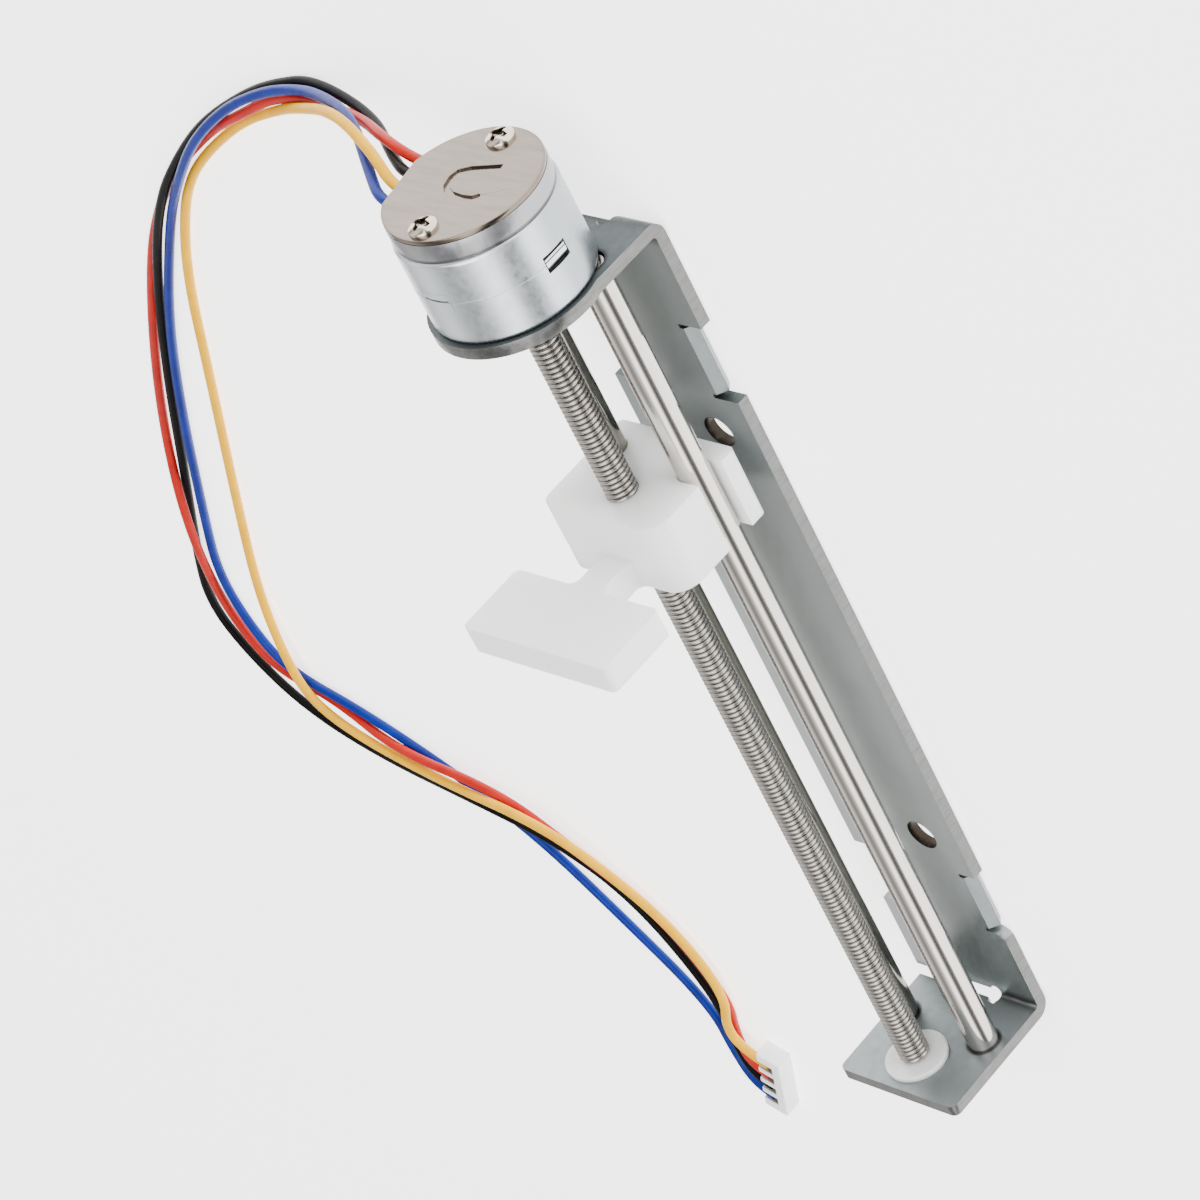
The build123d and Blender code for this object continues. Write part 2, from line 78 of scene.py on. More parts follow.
def coords(tree, stretch):
    """Object coordinates in metres, scaled along each axis."""
    place = node(tree, "ShaderNodeTexCoord")
    scale = node(tree, "ShaderNodeMapping")
    scale.inputs["Scale"].default_value = stretch
    tree.links.new(place.outputs["Object"], scale.inputs["Vector"])
    return scale.outputs["Vector"]


def noise(tree, vector, scale, detail=4.0, rough=0.6):
    made = node(tree, "ShaderNodeTexNoise")
    made.inputs["Scale"].default_value = scale
    made.inputs["Detail"].default_value = detail
    made.inputs["Roughness"].default_value = rough
    tree.links.new(vector, made.inputs["Vector"])
    return made.outputs["Fac"]


def ramp(tree, factor, stops):
    """Colour by a factor, from (place, colour) stops."""
    made = node(tree, "ShaderNodeValToRGB")
    bar = made.color_ramp
    for element, (place, colour) in zip(bar.elements, (stops[0], stops[-1])):
        element.position = place
        element.color = (*colour, 1)
    for place, colour in stops[1:-1]:
        bar.elements.new(place).color = (*colour, 1)
    tree.links.new(factor, made.inputs["Fac"])
    return made.outputs["Color"]


def remap(tree, factor, low, high):
    """Spreads a noise over the range from low to high."""
    made = node(tree, "ShaderNodeMapRange")
    made.inputs["From Min"].default_value = NOISE_LOW
    made.inputs["From Max"].default_value = NOISE_HIGH
    made.inputs["To Min"].default_value = low
    made.inputs["To Max"].default_value = high
    tree.links.new(factor, made.inputs["Value"])
    return made.outputs["Result"]


def bump(tree, shader, factor, strength, distance):
    made = node(tree, "ShaderNodeBump")
    made.inputs["Strength"].default_value = strength
    made.inputs["Distance"].default_value = distance
    tree.links.new(factor, made.inputs["Height"])
    tree.links.new(made.outputs["Normal"], shader.inputs["Normal"])


def metal(name, dark, light, rough, stretch=EVEN, scale=400.0, grain=0.15, metallic=1.0):
    """Plated or ground metal: two close tones by a stretched noise, fine grain in the roughness."""
    mat, tree, shader = new_mat(name)
    shader.inputs["Metallic"].default_value = metallic
    wide = noise(tree, coords(tree, stretch), scale)
    colour = ramp(tree, wide, [(NOISE_LOW, dark), (NOISE_HIGH, light)])
    tree.links.new(colour, shader.inputs["Base Color"])
    fine = noise(tree, coords(tree, stretch), scale * 4, 6.0, 0.7)
    tree.links.new(remap(tree, fine, rough * 0.8, rough * 1.25), shader.inputs["Roughness"])
    bump(tree, shader, fine, grain, METAL_RELIEF)
    return mat


def plastic(name, dark, light, rough, scale=300.0, grain=0.08, subsurface=0.0, depth=0.001, shine=0.5):
    """Moulded plastic: two close tones, fine grain, and light that spreads inside where it is milky."""
    mat, tree, shader = new_mat(name)
    shader.inputs["Specular IOR Level"].default_value = shine
    wide = noise(tree, coords(tree, EVEN), scale, 3.0)
    colour = ramp(tree, wide, [(NOISE_LOW, dark), (NOISE_HIGH, light)])
    tree.links.new(colour, shader.inputs["Base Color"])
    fine = noise(tree, coords(tree, EVEN), scale * 8, 4.0)
    tree.links.new(remap(tree, fine, rough * 0.85, rough * 1.15), shader.inputs["Roughness"])
    bump(tree, shader, fine, grain, PLASTIC_RELIEF)
    if subsurface:
        shader.inputs["Subsurface Weight"].default_value = subsurface
        shader.inputs["Subsurface Radius"].default_value = SCATTER
        shader.inputs["Subsurface Scale"].default_value = depth
    return mat


def math_node(tree, operation, first, second=None):
    """A calculation on numbers or sockets."""
    made = node(tree, "ShaderNodeMath", operation=operation)
    for place, value in enumerate((first, second)):
        if value is None:
            continue
        if isinstance(value, (int, float)):
            made.inputs[place].default_value = value
        else:
            tree.links.new(value, made.inputs[place])
    return made.outputs["Value"]


def times(tree, first, second):
    return math_node(tree, "MULTIPLY", first, second)


def minus(tree, first, second):
    return math_node(tree, "SUBTRACT", first, second)


def unsigned(tree, value):
    return math_node(tree, "ABSOLUTE", value)


def hypotenuse(tree, first, second):
    squares = math_node(tree, "ADD", times(tree, first, first), times(tree, second, second))
    return math_node(tree, "SQRT", squares)


def step_up(tree, value, start, end):
    """0 below start, 1 above end, smooth between."""
    made = node(tree, "ShaderNodeMapRange", interpolation_type="SMOOTHSTEP")
    made.inputs["From Min"].default_value = start
    made.inputs["From Max"].default_value = end
    tree.links.new(value, made.inputs["Value"])
    return made.outputs["Result"]


def step_down(tree, value, start, end):
    """1 below start, 0 above end, smooth between."""
    return minus(tree, 1.0, step_up(tree, value, start, end))


def position(tree):
    """X, Y and Z of the shaded point on the object, in metres."""
    place = node(tree, "ShaderNodeTexCoord")
    split = node(tree, "ShaderNodeSeparateXYZ")
    tree.links.new(place.outputs["Object"], split.inputs["Vector"])
    return split.outputs


def facing(tree):
    """X, Y and Z of the surface normal."""
    surface = node(tree, "ShaderNodeNewGeometry")
    split = node(tree, "ShaderNodeSeparateXYZ")
    tree.links.new(surface.outputs["Normal"], split.inputs["Vector"])
    return split.outputs


def radius_from_axis(tree):
    """Distance of the shaded point from the lead screw's axis, in metres."""
    place = position(tree)
    return hypotenuse(tree, place["Y"], minus(tree, place["Z"], AXIS_Z * MM))


def blend(tree, factor, first, second):
    """Colour mix; each side is a socket or an RGB triple."""
    made = node(tree, "ShaderNodeMix", data_type="RGBA")
    tree.links.new(factor, made.inputs["Factor"])
    for key, value in (("A", first), ("B", second)):
        socket = [spot for spot in made.inputs if spot.name == key and spot.type == "RGBA"][0]
        if isinstance(value, tuple):
            socket.default_value = (*value, 1)
        else:
            tree.links.new(value, socket)
    return [spot for spot in made.outputs if spot.type == "RGBA"][0]


materials = {
    "zinc": metal("zinc_plate", (0.37, 0.41, 0.41), (0.44, 0.48, 0.485), 0.34,
                  stretch=(0.4, 1, 1), scale=220.0, grain=0.12),
    "rod": metal("ground_rod", (0.55, 0.52, 0.49), (0.65, 0.615, 0.58), 0.13,
                 stretch=(0.02, 1, 1), scale=1800.0, grain=0.08),
    # painted shade and reflection: a darker copy of the ground rod steel, for the left rod
    "rod_painted_dark": metal("rod_steel_painted_dark", (0.24, 0.225, 0.195), (0.33, 0.31, 0.27), 0.14,
                       stretch=(0.02, 1, 1), scale=1800.0, grain=0.08),
    "thread": metal("rolled_thread", (0.31, 0.295, 0.275), (0.41, 0.39, 0.365), 0.27,
                    scale=900.0, grain=0.08),
    "shell": metal("motor_shell", (0.60, 0.65, 0.68), (0.66, 0.71, 0.74), 0.32, scale=260.0, grain=0.015),
    "pole": metal("pole_steel", (0.56, 0.60, 0.63), (0.64, 0.69, 0.72), 0.30, scale=260.0, grain=0.08),
    "ring": metal("ring_steel", (0.27, 0.275, 0.29), (0.31, 0.315, 0.33), 0.32, scale=260.0, grain=0.015),
    "cover": metal("cover_steel", (0.18, 0.152, 0.128), (0.23, 0.197, 0.168), 0.17,
                   stretch=(1, 0.12, 1), scale=900.0, grain=0.14),
    "nickel": metal("nickel_screw", (0.50, 0.44, 0.35), (0.64, 0.58, 0.49), 0.14, scale=500.0, grain=0.05),
    "ferrite": metal("ferrite", (0.05, 0.05, 0.055), (0.08, 0.08, 0.085), 0.6,
                     scale=700.0, grain=0.3, metallic=0.2),
    "brass": metal("brass", (0.70, 0.50, 0.20), (0.80, 0.60, 0.28), 0.25),
    "bronze": metal("sintered_bronze", (0.48, 0.33, 0.17), (0.60, 0.42, 0.24), 0.4, scale=900.0, grain=0.3),
    "copper": metal("copper_winding", (0.60, 0.24, 0.10), (0.76, 0.34, 0.16), 0.32,
                    stretch=(6, 0.4, 0.4), scale=500.0, grain=0.5),
    "contact": metal("tinned_contact", (0.62, 0.58, 0.48), (0.74, 0.70, 0.60), 0.25),
    "white": plastic("slider_white", (0.91, 0.915, 0.93), (0.94, 0.945, 0.96), 0.34,
                     scale=220.0, grain=0.05, subsurface=0.7, depth=0.003),
    "milky": plastic("bushing_milky", (0.80, 0.81, 0.80), (0.86, 0.86, 0.85), 0.26,
                     grain=0.04, subsurface=0.6, depth=0.002),
    "plug": plastic("plug_nylon", (0.87, 0.86, 0.86), (0.92, 0.91, 0.92), 0.36,
                    grain=0.06, subsurface=0.5, depth=0.0012),
    "bobbin": plastic("bobbin_nylon", (0.012, 0.012, 0.012), (0.022, 0.021, 0.020), 0.45),
    "red": plastic("wire_red", (0.36, 0.006, 0.003), (0.46, 0.012, 0.006), 0.40, shine=0.15),
    "black": plastic("wire_black", (0.0015, 0.0014, 0.0014), (0.004, 0.0037, 0.0035), 0.42, shine=0.06),
    "blue": plastic("wire_blue", (0.001, 0.010, 0.15), (0.002, 0.018, 0.23), 0.40, shine=0.15),
    "yellow": plastic("wire_yellow", (0.72, 0.36, 0.0), (0.84, 0.44, 0.0), 0.42, shine=0.08),
}


def open_colour(key):
    """A material's tree, its shader and the socket that feeds its base colour."""
    tree = materials[key].node_tree
    shader = tree.nodes["Principled BSDF"]
    return tree, shader, shader.inputs["Base Color"].links[0].from_socket


# Tones of the bracket: painted shade on the flanges, the motor's flange, the plate beside the motor, the
# lips' slopes, the inner bends, round the rod ends and in the mounting holes; the cut edges' own streaks;
# and dark spots on the edges near the motor
FLANGE = (0.215, 0.24, 0.25)
MOTOR_FLANGE_SHADE = (0.055, 0.066, 0.067)
MOTOR_SIDE_SHADE = (0.10, 0.115, 0.115)
LIP_SLOPE_SHADE = (0.17, 0.19, 0.195)
CUT_EDGE = [(0.3, (0.115, 0.113, 0.110)), (0.5, (0.14, 0.14, 0.138)), (0.75, (0.165, 0.165, 0.163))]
INNER_BEND_SHADE = (0.05, 0.052, 0.052)
ROD_END_SHADE = (0.02, 0.018, 0.018)
HOLE_WALL_SHADE = (0.035, 0.028, 0.022)
EDGE_SPOT_TONE = (0.13, 0.12, 0.12)


def cut_edges(tree):
    """1 on the bracket's sheared edges: faces that look sideways, and tops that stand above the plate."""
    normal = facing(tree)
    side = step_up(tree, unsigned(tree, normal["Y"]), 0.80, 0.92)
    raised = step_up(tree, position(tree)["Z"], 4.2 * MM, 4.8 * MM)
    top = times(tree, step_up(tree, unsigned(tree, normal["Z"]), 0.4, 0.6), raised)
    return math_node(tree, "MAXIMUM", side, top)


def inner_bends(tree):
    """1 low down beside the two flanges, inside the bracket."""
    place = position(tree)
    middle = (X_FAR + X_NEAR) / 2
    half_span = (X_FAR - X_NEAR) / 2
    from_middle = unsigned(tree, minus(tree, place["X"], middle * MM))
    beside = step_up(tree, from_middle, (half_span - 1.8) * MM, (half_span - 0.4) * MM)
    return times(tree, beside, step_down(tree, place["Z"], 2.0 * MM, 3.8 * MM))


def rod_ends(tree):
    """1 within a narrow ring round each rod."""
    place = position(tree)
    aside = minus(tree, unsigned(tree, place["Y"]), ROD_Y * MM)
    above = minus(tree, place["Z"], ROD_Z * MM)
    return step_down(tree, hypotenuse(tree, aside, above), 2.1 * MM, 2.6 * MM)


def hole_walls(tree, hole_x):
    """1 on the wall of a mounting hole."""
    place = position(tree)
    along = minus(tree, place["X"], hole_x * MM)
    across = minus(tree, place["Y"], HOLES_Y * MM)
    return step_down(tree, hypotenuse(tree, along, across), 2.17 * MM, 2.25 * MM)


def edge_spots_near_motor(tree):
    """Spots at the outside of the bend behind the motor."""
    place = position(tree)
    near_motor = step_down(tree, place["X"], (X_NEAR - 1.0) * MM, (X_NEAR + 1.6) * MM)
    low = step_down(tree, place["Z"], 2.6 * MM, 4.6 * MM)
    spots = step_up(tree, noise(tree, coords(tree, EVEN), 1500.0, 5.0, 0.8), 0.44, 0.60)
    return times(tree, times(tree, near_motor, low), spots)


def tone_bracket():
    """Bracket: streaked sheared edges, rougher flanges, painted shade on the flanges, on the plate towards
    the motor, on the lips' slopes, in the inner bends, in the holes and round the rod ends, and dark spots
    on the edges low beside the motor.
    """
    tree, shader, colour = open_colour("zinc")
    place = position(tree)
    normal = facing(tree)
    edge = cut_edges(tree)
    streaks = noise(tree, coords(tree, (2600.0, 2600.0, 500.0)), 1.0, 4.0)
    flange = step_up(tree, unsigned(tree, normal["X"]), 0.8, 0.95)
    at_motor = step_down(tree, place["X"], -10.0 * MM, 10.0 * MM)
    towards_motor = step_down(tree, place["X"], -50.0 * MM, 25.0 * MM)
    looks_up = step_up(tree, normal["Z"], 0.5, 0.8)
    lean = unsigned(tree, normal["Y"])
    slope = times(tree, step_up(tree, lean, 0.30, 0.50), step_down(tree, lean, 0.80, 0.92))
    bend = times(tree, inner_bends(tree), minus(tree, 1.0, edge))
    layers = [
        # painted shade on the flanges' faces
        (times(tree, flange, 0.9), FLANGE),
        # painted shade on the motor's flange
        (times(tree, times(tree, flange, at_motor), 0.9), MOTOR_FLANGE_SHADE),
        # painted shade on the plate's upper faces, growing towards the motor
        (times(tree, times(tree, towards_motor, looks_up), 0.62), MOTOR_SIDE_SHADE),
        # painted shade on the lips' sloping faces
        (times(tree, slope, 0.85), LIP_SLOPE_SHADE),
        (edge, ramp(tree, streaks, CUT_EDGE)),
        # painted shade in the inner bends beside the flanges
        (times(tree, bend, 0.8), INNER_BEND_SHADE),
        # painted shade: a dark ring round each rod where it meets a flange
        (times(tree, times(tree, flange, rod_ends(tree)), 0.9), ROD_END_SHADE),
    ]
    # painted shade on the mounting holes' walls
    layers += [(hole_walls(tree, hole_x), HOLE_WALL_SHADE) for hole_x in HOLES_X]
    # dark spots on the cut edges, low beside the motor
    layers.append((times(tree, edge_spots_near_motor(tree), times(tree, edge, 0.75)), EDGE_SPOT_TONE))
    for amount, tone in layers:
        colour = blend(tree, amount, colour, tone)
    tree.links.new(colour, shader.inputs["Base Color"])
    # the flanges are also rougher
    rough = shader.inputs["Roughness"].links[0].from_socket
    rougher = math_node(tree, "ADD", rough, times(tree, flange, 0.16))
    tree.links.new(rougher, shader.inputs["Roughness"])


def shade_thread_grooves():
    """Lead screw: painted shade in the thread's grooves."""
    tree, shader, base = open_colour("thread")
    crest = step_up(tree, radius_from_axis(tree), 1.62 * MM, 1.90 * MM)
    tree.links.new(blend(tree, crest, (0.13, 0.12, 0.11), base), shader.inputs["Base Color"])


def tone_rim(key, radius, colour, reach=0.45):
    """A darker band just inside a round rim about the screw axis."""
    tree, shader, base = open_colour(key)
    outer = step_up(tree, radius_from_axis(tree), (radius - reach) * MM, radius * MM)
    tree.links.new(blend(tree, times(tree, outer, 0.6), base, colour), shader.inputs["Base Color"])


def tone_line(key, low, high, colour, least):
    """A dark line round the motor between two places along X, uneven about the axis."""
    tree, shader, base = open_colour(key)
    along = position(tree)["X"]
    after_low = step_up(tree, along, (low - 0.06) * MM, (low + 0.03) * MM)
    before_high = step_down(tree, along, (high - 0.02) * MM, (high + 0.02) * MM)
    patches = remap(tree, noise(tree, coords(tree, EVEN), 130.0, 1.0), least, 1.1)
    amount = times(tree, times(tree, after_low, before_high), patches)
    tree.links.new(blend(tree, amount, base, colour), shader.inputs["Base Color"])


def shade_underside(key, colour):
    """Painted shade: a round shell is darker where it faces down."""
    tree, shader, base = open_colour(key)
    down = step_down(tree, facing(tree)["Z"], -0.15, 0.30)
    tree.links.new(blend(tree, down, base, colour), shader.inputs["Base Color"])


def shade_crevices(key, reach, colour, power):
    """Painted shade in the recesses of a small piece, found by ambient occlusion."""
    tree, shader, base = open_colour(key)
    hidden = node(tree, "ShaderNodeAmbientOcclusion", samples=8, only_local=True)
    hidden.inputs["Distance"].default_value = reach * MM
    closed = minus(tree, 1.0, math_node(tree, "POWER", hidden.outputs["AO"], power))
    tree.links.new(blend(tree, closed, base, colour), shader.inputs["Base Color"])


tone_bracket()
shade_thread_grooves()
# painted shade in the screw heads' cross recesses and in the plug's pockets and corners
shade_crevices("nickel", 1.5, (0.03, 0.022, 0.015), 3.6)
shade_crevices("plug", 2.4, (0.035, 0.027, 0.02), 2.2)
# painted shade on the motor shell where it faces down
shade_underside("shell", (0.33, 0.36, 0.38))
# painted shade in the windows' gaps: heights above the seam where the windows show dark gaps beside the pole
# plates
for low, high in ((-1.05, -0.42), (0.18, 0.34), (0.86, 1.05)):
    tone_line("pole", X_SEAM - high, X_SEAM - low, (0.02, 0.018, 0.016), 0.9)
tone_line("ring", X_MOTOR - 11.75, X_MOTOR - 11.38, (0.06, 0.055, 0.055), 0.35)
tone_rim("cover", 9.7, (0.14, 0.11, 0.085))

# Which material each CAD node has
DRESS = {
    "zinc": ("bracket",),
    "rod": ("guide_rod_right", "thrust_ball"),
    # the left rod takes the darker copy of the rod steel: painted shade and reflection
    "rod_painted_dark": ("guide_rod_left",),
    "thread": ("lead_screw",),
    "shell": ("lower_stator_cup", "upper_stator_cup", "rear_bearing_plate"),
    "pole": ("lower_pole_plate", "upper_pole_plate"),
    "ring": ("end_ring",),
    "cover": ("end_cover",),
    "nickel": ("cover_screws",),
    "ferrite": ("rotor_magnet",),
    "brass": ("rotor_sleeve",),
    "bronze": ("front_bearing", "rear_bearing"),
    "copper": ("lower_coil", "upper_coil"),
    "bobbin": ("lower_bobbin", "upper_bobbin"),
    "white": ("slider",),
    "milky": ("far_end_bushing",),
    "plug": ("plug_housing", "terminal_block"),
    "contact": ("plug_contacts",),
    "red": ("wire_red",),
    "black": ("wire_black",),
    "blue": ("wire_blue",),
    "yellow": ("wire_yellow",),
}
for key, names in DRESS.items():
    for name in names:
        surface = cad_nodes[name].data.materials
        surface.clear()
        surface.append(materials[key])

# Rounded edges
WELD_REACH = 0.001 * MM
# edge width in millimetres, and the number of facets across it
SOFT_EDGES = {"bracket": (0.16, 2), "end_cover": (0.08, 2), "end_ring": (0.14, 2), "slider": (0.4, 3),
              "far_end_bushing": (0.06, 2)}


def soften(obj, width, facets=2):
    """Small rounded edges on a CAD node or a piece, after its coincident corners are joined."""
    weld = obj.modifiers.new("weld", "WELD")
    weld.merge_threshold = WELD_REACH
    made = obj.modifiers.new("edges", "BEVEL")
    made.width = width * MM
    made.segments = facets
    made.limit_method = "ANGLE"
    made.angle_limit = math.radians(40)
    made.harden_normals = True


for name, (width, facets) in SOFT_EDGES.items():
    soften(cad_nodes[name], width, facets)


# Meshes
def add_mesh(name, points, faces, mat, body, smooth=35):
    """A piece from points in millimetres; edges sharper than smooth degrees stay sharp."""
    mesh = bpy.data.meshes.new(name)
    mesh.from_pydata([[c * MM for c in point] for point in points], [], faces)
    mesh.validate()
    mesh.update()
    mesh.materials.append(materials[mat])
    for face in mesh.polygons:
        face.use_smooth = True
    mesh.set_sharp_from_angle(angle=math.radians(smooth))
    obj = bpy.data.objects.new(name, mesh)
    scene.collection.objects.link(obj)
    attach(obj, body)
    return obj


def circle(x, radius, count, centre_y=0.0, centre_z=AXIS_Z):
    """Points of a circle that faces along X."""
    turns = [2 * math.pi * spot / count for spot in range(count)]
    return [(x, centre_y + radius * math.cos(turn), centre_z + radius * math.sin(turn)) for turn in turns]


def band(near, far, count):
    """Faces between two closed rings of count points, which start at the points near and far."""
    pairs = [(spot, (spot + 1) % count) for spot in range(count)]
    return [(near + spot, near + nxt, far + nxt, far + spot) for spot, nxt in pairs]


# Lead screw
PITCH = 0.7
CREST = 1.98
ROOT = 1.62
THREAD_START = X_NEAR + 0.8
THREAD_END = X_FAR - 1.1
COLLAR = 1.7             # radius of the plain ends of the thread
# plain round stretches: from, to, radius
PLAIN_RUNS = (
    (-67.95, THREAD_START + 0.05, 1.25),
    (THREAD_START, THREAD_START + 0.2, COLLAR),
    (THREAD_END - 0.2, THREAD_END, COLLAR),
    (THREAD_END - 0.05, 72.05, 1.0),
)


def thread_ridge(count):
    """Points and faces of one helical ridge, which is cut off square at both ends."""
    half = (ROOT + CREST) / 2
    form = (ROOT, half, CREST - 0.03, CREST, CREST, CREST - 0.03, half)
    steps = len(form)
    rings = int((THREAD_END - THREAD_START) / PITCH * steps) + steps
    points, faces = [], []
    for ring in range(-steps, rings):
        for spot in range(count):
            turn = 2 * math.pi * spot / count
            x = THREAD_START + PITCH * (ring / steps + spot / count)
            radius = form[ring % steps]
            if x < THREAD_START or x > THREAD_END:
                radius = ROOT
            x = min(max(x, THREAD_START), THREAD_END)
            points.append((x, radius * math.cos(turn), AXIS_Z + radius * math.sin(turn)))
    total = rings + steps
    for ring in range(total - 1):
        for spot in range(count - 1):
            near = ring * count + spot
            faces.append((near, near + count, near + count + 1, near + 1))
        # the last column meets the first one a full turn further on
        if ring + 1 + steps < total:
            near = ring * count + count - 1
            turned = (ring + steps) * count
            faces.append((near, near + count, turned + count, turned))
    return points, faces


def lead_screw_thread():
    count = 56
    points, faces = thread_ridge(count)
    for start_x, end_x, radius in PLAIN_RUNS:
        first = len(points)
        second = first + count
        points += circle(start_x, radius, count) + circle(end_x, radius, count)
        faces += band(second, first, count)
        faces.append(tuple(range(first, second)))
        faces.append(tuple(range(second, second + count)))
    return add_mesh("lead_screw_thread", points, faces, "thread", "rotor", 50)


screw = lead_screw_thread()
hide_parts("lead_screw")

# Cover screws
SCREW_LEAN = math.radians(6.33)    # the line through both screws, from upright
SCREW_CIRCLE = 7.53      # screws from the motor axis
HEAD_RADIUS = 1.75
HEAD_HIGH = 1.0
HEAD_DROP = 0.62         # share of the height that the dome loses towards its rim
RIM_HIGH = 0.2
CROSS_ARM = 1.22
CROSS_HALF = 0.27        # half width of an arm at its tip
CROSS_FLARE = 0.22       # how much wider it is at the middle
CROSS_DEEP = 0.70
CROSS_RISE = 0.55        # share of the depth lost towards the tip
WALL_RUN = 0.07          # slope of the cross's side walls
TIP_RUN = 0.12
SHANK_RADIUS = 0.75
SHANK_LONG = 1.8


def head_rise(across, along, radius):
    """Height of the head's surface over the cover."""
    near, far = sorted((abs(across), abs(along)))
    inside = min(1.0, max(0.0, (CROSS_HALF + CROSS_FLARE * (1 - far / CROSS_ARM) - near) / WALL_RUN))
    inside *= min(1.0, max(0.0, (CROSS_ARM - far) / TIP_RUN))
    dome = HEAD_HIGH * (1 - HEAD_DROP * (radius / HEAD_RADIUS) ** 2.4)
    if radius >= HEAD_RADIUS:
        dome = RIM_HIGH
    return dome - inside * CROSS_DEEP * (1 - CROSS_RISE * far / CROSS_ARM)


def pan_head(name, angle):
    """Domed screw head with a cross recess, facing -X, as a round height field, and its shank."""
    centre_y = SCREW_CIRCLE * math.sin(angle)
    centre_z = AXIS_Z + SCREW_CIRCLE * math.cos(angle)
    spokes, rings, sides = 96, 34, 24
    points, faces = [], []
    for ring in range(rings + 1):
        radius = HEAD_RADIUS * ring / rings
        for x, across, along in circle(0.0, radius, spokes, 0.0, 0.0):
            rise = head_rise(across, along, radius)
            points.append((COVER_FACE - rise, centre_y + across, centre_z + along))
    points += circle(COVER_FACE, HEAD_RADIUS, spokes, centre_y, centre_z)
    for ring in range(rings + 1):
        faces += band(ring * spokes, (ring + 1) * spokes, spokes)
    first = len(points)
    second = first + sides
    for x in (COVER_FACE + 0.01, COVER_FACE + SHANK_LONG):
        points += circle(x, SHANK_RADIUS, sides, centre_y, centre_z)
    faces += band(first, second, sides)
    faces.append(tuple(range(second, second + sides)))
    return add_mesh(name, points, faces, "nickel", "frame", 40)


upper_screw = pan_head("cover_screw_upper", SCREW_LEAN)
lower_screw = pan_head("cover_screw_lower", SCREW_LEAN + math.pi)
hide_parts("cover_screws")
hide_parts("cover_screws")

# Motor details
STRIP_RADIUS = MOTOR_RADIUS + 0.015
STRIP_THICK = 0.2
STRIP_HALF = math.radians(13.0)
SLOT_FLOOR_DEEP = 0.42   # below the cover's face
SLOT_FLOOR_RADIUS = 5.2
SLOT_FLOOR_THICK = 0.12


def shell_strip(name, low, high):
    """Curved strip on top of the stator cups, between two heights above the seam."""
    steps = 16
    points, faces = [], []
    for reach in (STRIP_RADIUS, STRIP_RADIUS - STRIP_THICK):
        for x in (X_SEAM - low, X_SEAM - high):
            for step in range(steps + 1):
                way = STRIP_HALF * (2 * step / steps - 1)
                points.append((x, reach * math.sin(way), AXIS_Z + reach * math.cos(way)))
    row = steps + 1
    for step in range(steps):
        for near, far in ((0, 1), (3, 2), (2, 0), (1, 3)):
            faces.append((near * row + step, far * row + step, far * row + step + 1, near * row + step + 1))
    faces.append((0, 2 * row, 3 * row, row))
    faces.append((steps, row + steps, 3 * row + steps, 2 * row + steps))
    return add_mesh(name, points, faces, "shell", "frame", 40)


def slot_floor():
    """Thin disc that closes the cover's bent slot from below."""
    count = 64
    top = COVER_FACE + SLOT_FLOOR_DEEP
    points = []
    for x in (top, top - SLOT_FLOOR_THICK):
        for spot in range(count):
            way = 2 * math.pi * spot / count
            points.append((x, SLOT_FLOOR_RADIUS * math.sin(way), AXIS_Z + SLOT_FLOOR_RADIUS * math.cos(way)))
    faces = band(0, count, count)
    faces.append(tuple(reversed(range(count))))
    faces.append(tuple(range(count, 2 * count)))
    return add_mesh("slot_floor", points, faces, "cover", "frame")


# the strips leave only a dark slit of the top window open
shell_strip("window_strip_lower", -1.2, 0.10)
shell_strip("window_strip_upper", 0.36, 1.2)
slot_floor()

# Plug
PLUG_CENTRE = (109.9, -56.76)
PLUG_TURN = math.radians(-19.34)
PLUG_ROW = 12.4
PLUG_FOOT = 0.02         # underside, just clear of the floor
PLUG_PITCH = 2.5
PLUG_DEEP = 3.9
PLUG_HIGH = 2.95
LEDGE = 1.5              # height of the pocket floors under the wires
POCKET = 0.72            # half width of a pocket
POCKET_DEEP = 2.5
ENTRY = -1.5             # face where the wires go in
WAYS = [spot * PLUG_PITCH for spot in (-1.5, -0.5, 0.5, 1.5)]
CLIP_HALF = 0.66         # half width of a clip
CLIP_SHEET = 0.06
CLIP_TOP = 2.2


def on_plug(across, ahead, up):
    """A point given along the plug's row, along its wires and above the floor."""
    return (PLUG_CENTRE[0] + across * math.cos(PLUG_TURN) - ahead * math.sin(PLUG_TURN),
            PLUG_CENTRE[1] + across * math.sin(PLUG_TURN) + ahead * math.cos(PLUG_TURN), up)


def plug_body():
    """Comb-shaped housing: one open pocket over each wire, and a solid back."""
    comb = [(-PLUG_ROW / 2, ENTRY)]
    for middle in WAYS:
        comb.append((middle - POCKET, ENTRY))
        comb.append((middle - POCKET, ENTRY + POCKET_DEEP))
        comb.append((middle + POCKET, ENTRY + POCKET_DEEP))
        comb.append((middle + POCKET, ENTRY))
    comb.append((PLUG_ROW / 2, ENTRY))
    comb.append((PLUG_ROW / 2, ENTRY + PLUG_DEEP))
    comb.append((-PLUG_ROW / 2, ENTRY + PLUG_DEEP))
    count = len(comb)
    levels = (PLUG_FOOT, LEDGE, PLUG_HIGH)
    points = [on_plug(across, ahead, level) for level in levels for across, ahead in comb]
    outside = [spot for spot, (across, ahead) in enumerate(comb) if ahead in (ENTRY, ENTRY + PLUG_DEEP)]
    faces = [tuple(reversed(outside)), tuple(range(2 * count, 3 * count))]
    for spot, nxt in zip(outside, outside[1:] + outside[:1]):
        faces.append((spot, nxt, nxt + count, spot + count))
    faces += band(count, 2 * count, count)
    for pocket in range(len(WAYS)):
        first = count + 1 + 4 * pocket
        faces.append((first, first + 3, first + 2, first + 1))
    return add_mesh("plug_body", points, faces, "plug", "frame", 30)


